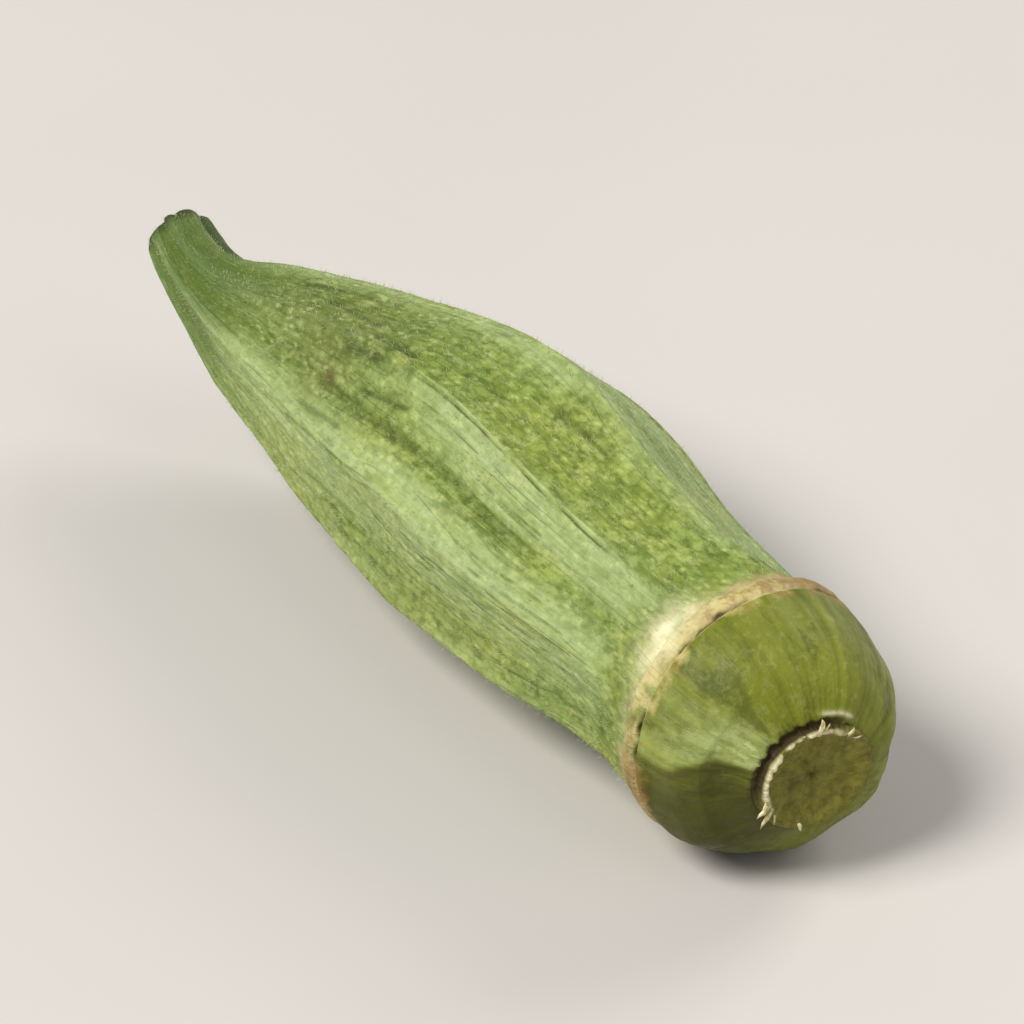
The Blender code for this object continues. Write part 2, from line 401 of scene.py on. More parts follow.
def ribbed(radius, along, turn):
    """The radius over the ribs, brought in between them to nearly flat, sunken faces."""
    behind_ring = RING_ALONG + RING_HALF_WIDTH
    strength = RIB_STRENGTH_AT_RING * ramp(along, RIBS_START_ALONG, POD_OUTLINE[0][0])
    strength += (1.0 - RIB_STRENGTH_AT_RING) * ramp(along, behind_ring, RIBS_FULL_ALONG)
    fade = strength * min(1.0, radius / FULL_RELIEF_RADIUS)
    face = int(turn // RIB_STEP) % RIBS
    from_middle = turn % RIB_STEP - RIB_STEP / 2.0
    bowl = math.cos(math.radians(from_middle / RIB_STEP * 180.0)) ** 2
    apothem = math.cos(math.radians(RIB_STEP / 2.0))
    flat = apothem / math.cos(math.radians(from_middle))
    lobed = 1.0 - (1.0 - apothem) * bowl
    section = lobed + RIB_SHARPNESS * (flat - lobed)
    from_rib = RIB_STEP / 2.0 - abs(from_middle)
    rib = face if from_middle < 0.0 else (face + 1) % RIBS
    crest = RIB_HEIGHTS[rib] * math.exp(-((from_rib / RIB_HALF_ANGLE) ** 2))
    sink = FACE_SINKS[face] * bowl
    return radius * (1.0 - strength * (1.0 - section)) + fade * (crest - sink)


def faceted_cap(radius, turn):
    """The cap dried into soft facets that run from the ring to the stalk."""
    step = 360.0 / CAP_FACETS
    from_middle = (rib_angle(turn) - CAP_FACET_TURN) % step - step / 2.0
    bowl = math.cos(math.radians(from_middle / step * 180.0))
    return radius - CAP_FACET_DEPTH * bowl * min(1.0, radius / FULL_RELIEF_RADIUS)


def unevenness(along, angle):
    """Shallow dents and long wrinkles. They fade out underneath, where the pod lies flat."""
    clear_of_ground = ramp(math.cos(angle), -0.9, -0.6)
    dents = noise_round(along / DENT_LENGTH, angle, DENTS_ROUND)
    wrinkles = noise_round(along / WRINKLE_LENGTH, angle, WRINKLES_ROUND)
    return clear_of_ground * (DENT_DEPTH * dents + WRINKLE_DEPTH * wrinkles)


def surface_point(along, radius, turn):
    """The skin's point in millimetres on the ring of this radius, at this turn round it."""
    angle = math.radians(rib_angle(turn))
    if along > RIBS_START_ALONG:
        radius = ribbed(radius, along, turn)
        fade = ramp(along, RIBS_START_ALONG, UNEVEN_FROM_ALONG)
        fade *= min(1.0, radius / FULL_RELIEF_RADIUS)
        radius += fade * unevenness(along, angle)
    elif along < GROOVE_ALONG and radius > STALK_RADIUS:
        open_part = ramp(radius, STALK_RADIUS, STALK_RADIUS + CLEAR_OF_STALK)
        open_part *= ramp(GROOVE_ALONG - along, 0.0, CLEAR_OF_RING)
        inward = faceted_cap(radius, turn) - radius
        radius += open_part * (inward + CAP_UNEVENNESS * unevenness(along, angle))
    wobble_size = RING_WOBBLE * math.exp(-(((along - RING_ALONG) / RING_WOBBLE_REACH) ** 2))
    along += wobble_size * noise_round(RING_WOBBLE_PICK, angle, RING_WOBBLES_ROUND)
    up, side = section_axes(along)
    return centre_line(along) + radius * (math.cos(angle) * up - math.sin(angle) * side)


def cut_stations():
    """The cut face, dished inside its raised lip, and the moat round the lip."""
    corners = [
        (DISH_DEPTH, 0.12),
        (DISH_DEPTH, DISH_RADIUS),
        (0.7 * DISH_DEPTH, STALK_RADIUS - LIP_WIDTH),
        (0.0, STALK_RADIUS - 0.3 * LIP_WIDTH),
        (0.1 * DISH_DEPTH, STALK_RADIUS),
        (MOAT_DEPTH, STALK_RADIUS + 0.4 * MOAT_WIDTH),
    ]
    stations = []
    for (along_0, radius_0), (along_1, radius_1) in zip(corners, corners[1:]):
        spacing = RIM_SPACING if radius_0 > DISH_RADIUS else CUT_SPACING
        steps = max(2, round(math.hypot(along_1 - along_0, radius_1 - radius_0) / spacing))
        for step in range(steps):
            t = step / steps
            along = along_0 + t * (along_1 - along_0)
            stations.append((along, radius_0 + t * (radius_1 - radius_0), "cut"))
    stations.append((*corners[-1], "cut"))
    return stations


def cap_stations():
    """The cap's dome, a quarter of a full ellipse from the moat to its edge over the groove."""
    power = 2.0 / CAP_SQUARENESS
    start_radius = STALK_RADIUS + MOAT_WIDTH
    start = math.asin((start_radius / CAP_RADIUS) ** (1.0 / power))
    top = 0.6 * MOAT_DEPTH
    depth = (CAP_EDGE_ALONG - top) / math.cos(start) ** power
    stations = []
    for step in range(CAP_STATIONS + 1):
        angle = start + (math.pi / 2.0 - start) * step / CAP_STATIONS
        along = CAP_EDGE_ALONG - depth * abs(math.cos(angle)) ** power
        stations.append((along, CAP_RADIUS * math.sin(angle) ** power, "cap"))
    return stations


def ring_stations():
    """The groove and the corky ring, a bead round the pod's neck."""
    shoulder = 0.6 * RING_HALF_WIDTH
    outline = (
        (CAP_EDGE_ALONG, CAP_RADIUS),
        (GROOVE_ALONG, GROOVE_RADIUS),
        (RING_ALONG - shoulder, RING_RADIUS - RING_SHOULDER),
        (RING_ALONG, RING_RADIUS),
        (RING_ALONG + shoulder, RING_RADIUS - RING_SHOULDER),
        POD_OUTLINE[0],
    )
    stations = []
    for step in range(1, RING_STATIONS):
        along = outline[0][0] + (outline[-1][0] - outline[0][0]) * step / RING_STATIONS
        stations.append((along, curve_through(outline, along), "ring"))
    return stations


def pod_stations():
    """The ribbed pod and its beak, closer together towards the tip, and the rounded tip."""
    first, last = POD_OUTLINE[0][0], POD_OUTLINE[-1][0]
    stations = []
    for step in range(POD_STATIONS + 1):
        t = step / POD_STATIONS
        along = first + (last - first) * ((1.0 + STEP_CROWDING) * t - STEP_CROWDING * t * t)
        stations.append((along, curve_through(POD_OUTLINE, along), "pod"))
    tip_radius = POD_OUTLINE[-1][1]
    for step in range(1, TIP_STATIONS + 1):
        t = step / (TIP_STATIONS + 0.5) * math.pi / 2.0
        along = last + (POD_LENGTH - last) * math.sin(t) ** 1.4
        stations.append((along, tip_radius * math.cos(t) ** 0.8, "pod"))
    return stations


def bloom_share(along, degrees):
    """How pale the bloom is here. It wears off towards the beak, and two stripes of it start later."""
    start = BLOOM_ROUND[0][0]
    share = curve_through(BLOOM_ROUND, start + (degrees - start) % 360.0)
    ragged = 4.0 * noise_round(along / 9.0, math.radians(degrees), 8.0)
    worn = ramp(along + ragged, WORN_FROM, WORN_TO)
    share *= 1.0 - 0.85 * worn * bump_round(degrees, WORN_ANGLE, 17.0)
    dusty_top = 0.7 * ramp(along, 28.0, 36.0) * bump_round(degrees, DUSTY_TOP_ANGLE, 11.0)
    dusty_side = 0.68 * ramp(along, 36.0, 50.0) * bump_round(degrees, DUSTY_SIDE_ANGLE, 32.0)
    share = max(share, dusty_top, dusty_side)
    at_ring = ramp(along, 11.0, 16.0)
    at_beak = 1.0 - 0.7 * ramp(along, 57.0, 68.0)
    return min(max(share, 0.0), 1.0) * at_ring * at_beak


def spot_at(along, degrees, centre_along, centre, size):
    """A round spot on the shoulder, where one degree is about 0.14 mm."""
    return bump_at(math.hypot(along - centre_along, 0.14 * turn_between(degrees, centre)), size)


def pod_relief(along, radius, turn, angle, marks):
    """How far the ribbed skin stands out from its plain form, and what shows there.

    The other zones' functions below take the same arguments, and give their relief and marks likewise.
    """
    degrees = math.degrees(angle)
    rib = int(round(turn / RIB_STEP)) % RIBS
    from_rib = turn_between(turn, rib * RIB_STEP)
    offset = math.radians(from_rib) * radius
    slim = min(1.0, radius / FULL_RELIEF_RADIUS)
    body = ramp(along, 12.0, 19.0)
    beak = ramp(along, 57.0, 66.0)
    shoulder = ramp(along, 44.0, 54.0) * (1.0 - beak)
    crisp = ramp(along, KEEL_STARTS[rib] - 4.0, KEEL_STARTS[rib] + 2.0)
    crisp *= 1.0 - ramp(along, KEEL_ENDS[rib] - 2.0, KEEL_ENDS[rib] + 5.0)
    broken = ramp(noise_at(along / 5.0, rib * 3.7, 1.5), -0.55, -0.15)
    standing = 0.15 * body * slim + 0.85 * crisp * broken
    keel = KEEL_HEIGHTS[rib] * bump_at(offset, KEEL_WIDTH) * standing
    seam = SEAM_DEPTHS[rib] * bump_at(offset - SEAM_OFFSET, SEAM_WIDTH) * crisp * broken
    rounding = KEEL_ROUNDING[rib] + SHOULDER_ROUNDING * shoulder
    rounding *= body * slim * bump_at(from_rib, ROUNDING_ANGLE)
    upper_face = UPPER_FACE_SWELL * body * slim * bump_round(degrees, UPPER_FACE_ANGLE, 14.0)

    dents = noise_round(along / 17.0 + 5.0, angle, 3.0)
    undulation = noise_round(along / 13.0 + 2.0, angle, 9.0)
    ripple = noise_round(along / 5.0, angle, 22.0)
    pebbles = noise_round(along / 0.8, angle, 12.0)
    flutes = 0.5 - 0.5 * math.cos(math.radians(turn * RIBS))
    blunt = 1.0 - 0.8 * ramp(along, POD_LENGTH - 3.0, POD_LENGTH - 1.0)
    relief = keel - seam - rounding + upper_face
    relief += body * slim * (SOFT_DENTS * dents + UNDULATION * undulation + RIPPLES * ripple)
    relief += PEBBLES * pebbles - BEAK_FLUTES * beak * flutes * blunt
    tip = ramp(along, POD_LENGTH - 1.6, POD_LENGTH - 0.5)
    relief += TIP_LUMPS * tip * noise_round(along / 1.5, angle, 3.0)

    marks["bloom"] = bloom_share(along, degrees)
    # painted shade in the beak's grooves between its ribs
    marks["groove"] = 0.75 * beak * flutes
    marks["from_crest"] = min(abs(offset), 3.0)
    marks["low_flank"] = 1.0 if offset > 0.0 else 0.0
    # how strong the painted shadow line in the seam below the keel is
    marks["seam"] = crisp * broken * SEAM_DEPTHS[rib] / max(SEAM_DEPTHS)
    # how strong the painted highlight along the keel's edge is
    marks["crest"] = KEEL_LINES[rib] * (0.12 * body + 0.88 * crisp * broken)
    marks["beak"] = ramp(along, 56.0, 66.0)
    # painted shade along the beak's upper right side, joined to the tip's own dark end
    beak_shade = bump_round(degrees, SHADED_TIP_ANGLE, 34.0) * ramp(along, 63.0, 69.0)
    marks["tip"] = max(tip, 0.75 * beak_shade)
    blemish = spot_at(along, degrees, BLEMISH_ALONG, BLEMISH_ANGLE, BLEMISH_SIZE)
    tanned = 0.35 * spot_at(along, degrees, TANNED_ALONG, TANNED_ANGLE, TANNED_SIZE)
    marks["brown"] = max(blemish, tanned)
    marks["dull"] = ramp(along, 40.0, 50.0) * bump_round(degrees, DULL_ANGLE, 38.0)
    reach = 0.7 + 1.5 * bump_round(degrees, -30.0, 45.0)
    reach += 0.8 * bump_round(degrees, 100.0, 30.0) + 0.9 * noise_round(1.0, angle, 4.0)
    worn_off = ramp(along, RING_ALONG + 0.2, RING_ALONG + 0.9 + max(reach, 0.2))
    marks["ring"] = 0.9 * (1.0 - worn_off) * cork_share(angle)
    marks["pale"] = cream_patch(along, angle)
    marks["tan"] = tan_share(angle)
    return relief


def cork_share(angle):
    """How much cork covers the ring, less where green skin shows through it."""
    bare = bump_round(math.degrees(angle), BARE_CORK_ANGLE, 24.0)
    return 1.0 - 0.45 * bare - 0.25 * ramp(noise_round(12.0, angle, 6.0), 0.0, 0.4)


def cream_patch(along, angle):
    """How cream the skin is beside the ring: a patch on two of its sides, and a thin band all round."""
    degrees = math.degrees(angle)
    ragged = 0.3 * noise_round(along / 1.4, angle, 9.0)
    past = along - CREAM_ALONG
    patch = (0.8 + ragged) * bump_round(degrees, CREAM_ANGLE, CREAM_SPREAD) * bump_at(past, 1.8)
    other = 0.6 * bump_round(degrees, FAR_CREAM_ANGLE, 30.0) * bump_at(past, 1.4)
    band = (0.22 + 0.3 * noise_round(4.0, angle, 5.0)) * bump_at(along - RING_ALONG - 0.9, 1.0)
    return max(patch, other, band)


def tan_share(angle):
    """How brown the cork is: more on the top and low on one side, less beside the cream patch."""
    degrees = math.degrees(angle)
    brown = 0.75 * bump_round(degrees, -38.0, 34.0)
    brown += 0.6 * bump_round(degrees, 100.0, 26.0)
    beside_patch = 0.3 * bump_round(degrees, 40.0, 24.0)
    return 0.3 + brown - beside_patch + 0.5 * noise_round(6.0, angle, 5.0)


def open_crack(angle):
    """Where the groove beside the cap is split open, as a share."""
    degrees = math.degrees(angle)
    seen = max(share * bump_round(degrees, centre, spread) for centre, spread, share in SPLITS)
    far_side = ramp(-math.cos(angle - 0.5), -0.2, 0.3)
    behind = ramp(noise_round(7.0, angle, 3.6), 0.0, 0.2) * far_side
    return ramp(max(seen, behind) + 0.25 * noise_round(11.0, angle, 14.0), 0.25, 0.65)


def ring_relief(along, radius, turn, angle, marks):
    """Lumpy cork with a broken crack in the groove beside the cap."""
    lumps = noise_round(along / 1.6, angle, 6.0)
    swells = noise_round(2.0, angle, 4.0)
    grit = noise_round(along / 0.5, angle, 20.0)
    split = open_crack(angle)
    crack = bump_at(along - GROOVE_ALONG - 0.16 * noise_round(9.0, angle, 9.0), 0.1)
    filling = bump_at(along - GROOVE_ALONG, 0.3)
    nicks = bump_at(noise_round(along / 3.0, angle, 15.0), 0.05)
    nicks *= ramp(along, GROOVE_ALONG + 0.3, GROOVE_ALONG + 0.6)
    edge = ramp(along, GROOVE_ALONG - 0.25, GROOVE_ALONG)
    bead = bump_at(along - RING_ALONG, 0.7)
    marks["ring"] = 0.95 * cork_share(angle)
    marks["crack"] = max(crack * (0.1 + 0.8 * split), 0.3 * nicks)
    marks["pale"] = max(cream_patch(along, angle), 0.35 * filling)
    marks["tan"] = tan_share(angle)
    relief = edge * (RING_LUMPS * lumps + RING_GRIT * grit) + bead * (RING_SWELLS * swells - 0.12)
    relief += GROOVE_FILLING * filling * (1.0 - 0.45 * split)
    return relief - RING_CRACK_DEPTH * crack * split - 0.05 * nicks


def fold_distance(along, degrees):
    """How far round the cap the point is from the fold that runs from the ring to the stalk."""
    return turn_between(degrees, CAP_FOLD_ANGLE + CAP_FOLD_SWING * ramp(along, 1.0, 5.5))


def torn_side(degrees):
    """The side of the cut stalk where its rim is torn, as a share."""
    return ramp(bump_round(degrees, TORN_ANGLE, TORN_SPREAD), 0.3, 0.75)


def cap_relief(along, radius, turn, angle, marks):
    """Fine streaks from the ring to the stalk, the edge of a fold along them, and the stalk's crack."""
    degrees = math.degrees(angle)
    streaks = noise_round(along / 9.0, angle, 15.0)
    fine_streaks = noise_round(along / 6.0, angle, 34.0)
    swell = noise_round(along / 5.0, angle, 3.0)
    past_fold = fold_distance(along, degrees)
    below = ramp(past_fold, -3.0, 6.0) * (1.0 - ramp(past_fold, 16.0, 44.0))
    open_part = ramp(radius, STALK_RADIUS + 0.4, STALK_RADIUS + 1.8)
    open_part *= 1.0 - ramp(along, GROOVE_ALONG - 1.2, GROOVE_ALONG - 0.3)
    edge = ramp(along, GROOVE_ALONG - 1.5, GROOVE_ALONG - 0.35)
    rays = ramp(along, 1.5, 5.0) * ramp(noise_round(3.0, angle, 7.0), -0.1, 0.5)
    marks["cap"] = 1.0
    marks["streak"] = 0.5 + 0.4 * streaks + 0.25 * fine_streaks - 0.45 * rays
    # painted highlight on the cap beside its fold, strongest near the stalk
    shine = ramp(past_fold, -44.0, -16.0) * (1.0 - ramp(past_fold, -4.0, 0.5))
    marks["shine"] = shine * (0.3 + 0.7 * (1.0 - ramp(along, 1.5, 5.5)))
    # painted shade on the cap under its fold, darkest just past it
    dark = 0.6 * ramp(past_fold, -4.0, 4.0) + 0.4 * ramp(past_fold, 4.0, 24.0)
    marks["shade_under_fold"] = dark * (1.0 - ramp(past_fold, 60.0, 110.0))
    marks["shadow"] = bump_round(degrees, CAP_SHADOW_ANGLE, 20.0) * bump_at(along - CAP_SHADOW_ALONG, 1.7)
    corky = noise_round(5.0, angle, 6.0) + 0.4 * tan_share(angle)
    marks["ring"] = 0.6 * edge * ramp(corky, -0.3, 0.5)
    marks["tan"] = tan_share(angle)
    hole = bump_round(degrees, HOOK_ANGLE, HOOK_SPREAD)
    gap = radius - STALK_RADIUS
    wide = 0.38 * noise_round(8.0, angle, 8.0) + 0.14 * noise_round(5.0, angle, 18.0)
    wide += 0.35 * bump_round(degrees, 106.0, 24.0) + 0.2 * hole
    near_stalk = 1.0 - ramp(gap, 0.3, 0.66 + max(wide, -0.25))
    marks["crack"] = near_stalk * (0.3 + 0.7 * torn_side(degrees))
    marks["lip"] = 0.75 * ramp(hole, 0.3, 0.7) * bump_at(gap - HOOK_GAP, 0.16)
    relief = CAP_STREAKS * streaks + CAP_FINE_STREAKS * fine_streaks
    relief += open_part * (CAP_SWELL * swell - CAP_FOLD_DEPTH * below)
    return relief + HOOK_HEIGHT * marks["lip"] - STALK_CRACK_DEPTH * near_stalk * torn_side(degrees)


def cut_relief(along, radius, turn, angle, marks):
    """The cut stalk: a rough dished face, a torn lip that stands up on one side, and its crack."""
    across, upward = math.sin(angle), math.cos(angle)
    torn = torn_side(math.degrees(angle))
    ragged = noise_round(2.0, angle, 7.0)
    lip_radius = STALK_RADIUS - 0.2 + 0.16 * noise_round(4.0, angle, 5.0)
    lip = bump_at(radius - lip_radius, 0.22)
    rough = noise_round(radius / 0.9, angle, 5.0)
    fibres = noise_at(across * radius / 0.35, upward * radius / 0.35, 3.0)
    moat = ramp(radius, STALK_RADIUS - 0.06, STALK_RADIUS + 0.06)
    marks["cut"] = 1.0
    marks["lip"] = lip * torn * ramp(ragged, -0.6, -0.2)
    marks["crack"] = moat * (0.25 + 0.75 * torn)
    standing = lip * torn * (0.16 + 0.3 * ragged)
    relief = CUT_ROUGHNESS * rough + CUT_FIBRES * fibres + standing
    return relief + 0.3 * moat * (1.0 - torn) - 0.12 * moat * torn


RELIEFS = {"cut": cut_relief, "cap": cap_relief, "ring": ring_relief, "pod": pod_relief}
MARKS = (
    "bloom", "groove", "fold", "from_crest", "low_flank", "seam", "crest", "beak", "tip", "brown", "dull",
    "ring", "tan", "pale", "cap", "streak", "shine", "shadow", "shade_under_fold", "cut", "lip", "crack",
)


def all_creases():
    """The creases given one by one, and thinner ones drawn at random on every face of the pod."""
    creases = list(CREASES)
    draw = random.Random(CREASE_SEED)
    for number in range(RANDOM_CREASES):
        face = number % RIBS
        degrees = rib_angle((face + draw.uniform(0.14, 0.86)) * RIB_STEP)
        along = draw.uniform(13.0, 46.0)
        length = draw.uniform(6.0, 17.0)
        drift = draw.uniform(-2.5, 2.5)
        depth = draw.uniform(0.02, 0.06)
        width = draw.uniform(0.12, 0.18)
        creases.append((degrees, along, degrees + drift, along + length, depth, width))
    return creases


def crease_skin(stations, angles, reliefs, marks):
    """Sinks the folds and creases into the skin, and marks the painted shade of the folds and the nearest
    crease.
    """
    along = np.array([station[0] for station in stations])[:, None]
    radius = np.array([station[1] for station in stations])[:, None]
    on_pod = np.array([station[2] == "pod" for station in stations])[:, None]
    degrees = np.degrees(np.array(angles))[None, :]
    nearest = np.full(reliefs.shape, 4.0)
    lines = [*FOLDS, *((*crease, 0.0) for crease in all_creases())]
    for number, (degrees_0, along_0, degrees_1, along_1, depth, width, dark) in enumerate(lines):
        t = (along - along_0) / (along_1 - along_0)
        taper = np.clip(6.0 * t, 0.0, 1.0) * np.clip(6.0 * (1.0 - t), 0.0, 1.0) * on_pod
        middle = degrees_0 + np.clip(t, 0.0, 1.0) * (degrees_1 - degrees_0)
        middle = middle + 0.8 * np.sin(along / 3.1 + number)
        off = np.abs(np.radians((degrees - middle + 180.0) % 360.0 - 180.0) * radius) / width
        dip = taper * np.exp(-(off**2))
        reliefs -= depth * dip
        # how much painted shade darkens the fold's hollow
        if dark:
            marks["fold"] = np.maximum(marks["fold"], dark * np.clip(1.5 * dip - 0.3, 0.0, 1.0))
        else:
            nearest = np.minimum(nearest, off + 4.0 * (1.0 - taper))
    marks["off_crease"] = nearest


def grid_normals(points):
    """The outward normal at each point of the grid, which closes on itself round the pod."""
    round_pod = np.roll(points, -1, axis=1) - np.roll(points, 1, axis=1)
    down_pod = np.gradient(points, axis=0)
    normals = np.cross(round_pod, down_pod)
    lengths = np.linalg.norm(normals, axis=2, keepdims=True)
    normals /= np.maximum(lengths, 1e-9)
    middle = points.mean(axis=1, keepdims=True)
    outward = np.sum(normals * (points - middle), axis=2).sum()
    return normals if outward > 0.0 else -normals


def skin_grid():
    """The skin's points, normals and grain as grids in millimetres, and its marks by name."""
    stations = cut_stations() + cap_stations() + ring_stations() + pod_stations()
    turns = [360.0 * k / SIDES for k in range(SIDES)]
    angles = [math.radians(rib_angle(turn)) for turn in turns]
    size = (len(stations), SIDES)
    rows = [[surface_point(along, radius, turn) for turn in turns] for along, radius, _ in stations]
    points = np.array(rows)
    reliefs = np.zeros(size)
    marks = {name: np.zeros(size) for name in MARKS}
    grain = np.zeros((*size, 3))
    travelled = 0.0
    for i, (along, radius, zone) in enumerate(stations):
        if i:
            travelled += math.hypot(along - stations[i - 1][0], radius - stations[i - 1][1])
        for k, (turn, angle) in enumerate(zip(turns, angles)):
            found = {}
            reliefs[i, k] = RELIEFS[zone](along, radius, turn, angle, found)
            for name, value in found.items():
                marks[name][i, k] = value
            grain[i, k] = (travelled, 10.0 * math.sin(angle), 10.0 * math.cos(angle))
    crease_skin(stations, angles, reliefs, marks)
    middle = (points.reshape(-1, 3).min(axis=0) + points.reshape(-1, 3).max(axis=0)) / 2.0
    low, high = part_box("okra_pod")
    points[:, :, 0] += (low.x + high.x) / 2.0 / MM - middle[0]
    points[:, :, 1] += (low.y + high.y) / 2.0 / MM - middle[1]
    points += grid_normals(points) * reliefs[:, :, None]
    points[:, :, 2] = np.maximum(points[:, :, 2], 0.0)
    return points, grid_normals(points), grain, marks


def add_attribute(mesh, name, values, kind="FLOAT"):
    attribute = mesh.attributes.new(name, kind, "POINT")
    field = "vector" if kind == "FLOAT_VECTOR" else "value"
    attribute.data.foreach_set(field, np.asarray(values, np.float32).ravel())


def new_object(name, vertices, faces, material):
    mesh = bpy.data.meshes.new(name)
    mesh.from_pydata(vertices, [], faces)
    mesh.materials.append(material)
    mesh.shade_smooth()
    mesh.update()
    piece = bpy.data.objects.new(name, mesh)
    bpy.context.scene.collection.objects.link(piece)
    return piece


def make_skin(grid, material):
    points, _, grain, marks = grid
    rows = len(points)
    ends = [points[0].mean(axis=0), points[-1].mean(axis=0)]
    vertices = np.concatenate([points.reshape(-1, 3), ends]) * MM
    cut_centre, tip_centre = rows * SIDES, rows * SIDES + 1
    faces = []
    for i in range(rows - 1):
        for k in range(SIDES):
            after = (k + 1) % SIDES
            near, far = i * SIDES, (i + 1) * SIDES
            faces.append((near + k, near + after, far + after, far + k))
    last = (rows - 1) * SIDES
    for k in range(SIDES):
        after = (k + 1) % SIDES
        faces.append((cut_centre, after, k))
        faces.append((tip_centre, last + k, last + after))
    skin = new_object("pod_skin_surface", vertices.tolist(), faces, material)
    for name, values in marks.items():
        flat = values.reshape(-1)
        add_attribute(skin.data, name, np.concatenate([flat, [values[0].mean(), values[-1].mean()]]))
    flat_grain = grain.reshape(-1, 3)
    flat_grain = np.concatenate([flat_grain, [grain[0][0], grain[-1][0]]])
    add_attribute(skin.data, "grain", flat_grain, "FLOAT_VECTOR")
    return skin


def linear(colour):
    def channel(value):
        value /= 255.0
        return value / 12.92 if value <= 0.04045 else ((value + 0.055) / 1.055) ** 2.4

    return (*(channel(value) for value in colour), 1.0)


class Shader:
    """A small helper that adds nodes to a material and joins them."""

    def __init__(self, name):
        self.material = bpy.data.materials.new(name)
        self.material.use_nodes = True
        self.tree = self.material.node_tree
        self.surface = self.tree.nodes["Principled BSDF"]

    def add(self, kind, **settings):
        node = self.tree.nodes.new(kind)
        for name, value in settings.items():
            setattr(node, name, value)
        return node

    def put(self, value, socket):
        """Joins an output to the socket, or sets a plain value on it."""
        if isinstance(value, bpy.types.NodeSocket):
            self.tree.links.new(value, socket)
        else:
            socket.default_value = value

    def fill(self, node, inputs):
        """Puts a value on, or joins an output to, each of the node's inputs by name or number."""
        for name, value in inputs.items():
            self.put(value, node.inputs[name])

    def mark(self, name):
        return self.add("ShaderNodeAttribute", attribute_name=name).outputs["Fac"]

    def vector(self, name):
        return self.add("ShaderNodeAttribute", attribute_name=name).outputs["Vector"]

    def stretched(self, vector, scale):
        node = self.add("ShaderNodeVectorMath", operation="MULTIPLY")
        self.fill(node, {0: vector, 1: scale})
        return node.outputs["Vector"]

    def noise(self, vector, scale, detail=2.0, roughness=0.5):
        node = self.add("ShaderNodeTexNoise")
        self.fill(node, {"Vector": vector, "Scale": scale, "Detail": detail, "Roughness": roughness})
        return node.outputs["Fac"]

    def cells(self, vector, scale):
        """A cell pattern, as each point's distance from the middle of its cell."""
        node = self.add("ShaderNodeTexVoronoi")
        self.fill(node, {"Vector": vector, "Scale": scale})
        return node.outputs["Distance"]

    def between(self, value, low, high, out_low=0.0, out_high=1.0):
        node = self.add("ShaderNodeMapRange", interpolation_type="SMOOTHSTEP")
        self.fill(node, {"Value": value, "From Min": low, "From Max": high})
        self.fill(node, {"To Min": out_low, "To Max": out_high})
        return node.outputs["Result"]

    def from_to(self, share, low, high):
        """The share's range from 0 to 1 moved to this one."""
        return self.between(share, 0.0, 1.0, low, high)

    def math(self, operation, first, second):
        node = self.add("ShaderNodeMath", operation=operation)
        self.fill(node, {0: first, 1: second})
        return node.outputs["Value"]

    def times(self, *values):
        product = values[0]
        for value in values[1:]:
            product = self.math("MULTIPLY", product, value)
        return product

    def mix(self, factor, first, second):
        node = self.add("ShaderNodeMix", data_type="RGBA", clamp_factor=True)
        self.put(factor, node.inputs["Factor"])
        for value, socket in ((first, node.inputs[6]), (second, node.inputs[7])):
            self.put(linear(value) if isinstance(value, tuple) else value, socket)
        return node.outputs[2]


def skin_lines(s, grain):
    """The thin lines on the skin: creases painted dark as shade, stray lines, and each keel's pale line
    of painted highlight and its seam's painted shadow line.
    """
    stray = s.noise(s.stretched(grain, (0.07, 1.0, 1.0)), 0.9, 1.0, 0.5)
    gate = s.between(s.noise(s.stretched(grain, (0.3, 1.0, 1.0)), 0.33, 1.0), 0.42, 0.58)
    off_stray = s.math("ABSOLUTE", s.math("SUBTRACT", stray, 0.5), 0.0)
    stray_lines = s.times(s.between(off_stray, 0.0, 0.02, 1.0, 0.0), gate, 0.7)
    breaks = s.between(s.noise(s.stretched(grain, (0.5, 1.0, 1.0)), 0.8, 2.0), 0.36, 0.56, 0.25, 1.0)
    # the creases are drawn as dark lines of painted shade; the stray lines are the skin's own
    creases = s.times(s.between(s.mark("off_crease"), 0.35, 1.1, 1.0, 0.0), breaks)
    lines = s.math("MAXIMUM", stray_lines, creases)

    waver = s.between(s.noise(s.stretched(grain, (0.3, 0.2, 0.2)), 0.7, 1.0), 0.2, 0.8, -0.07, 0.07)
    from_crest = s.math("ADD", s.mark("from_crest"), waver)
    off_seam = s.math("ABSOLUTE", s.math("SUBTRACT", from_crest, SEAM_OFFSET), 0.0)
    below = s.between(s.mark("low_flank"), 0.3, 0.7)
    # the seam's dark line is a painted shadow, drawn only on the keel's lower side
    seam = s.times(s.between(off_seam, 0.02, 0.11, 1.0, 0.0), s.mark("seam"), below, breaks)
    # a pale line of painted highlight along the keel's edge
    crest = s.times(s.between(from_crest, 0.03, 0.15, 1.0, 0.0), s.mark("crest"), breaks)
    return lines, seam, crest


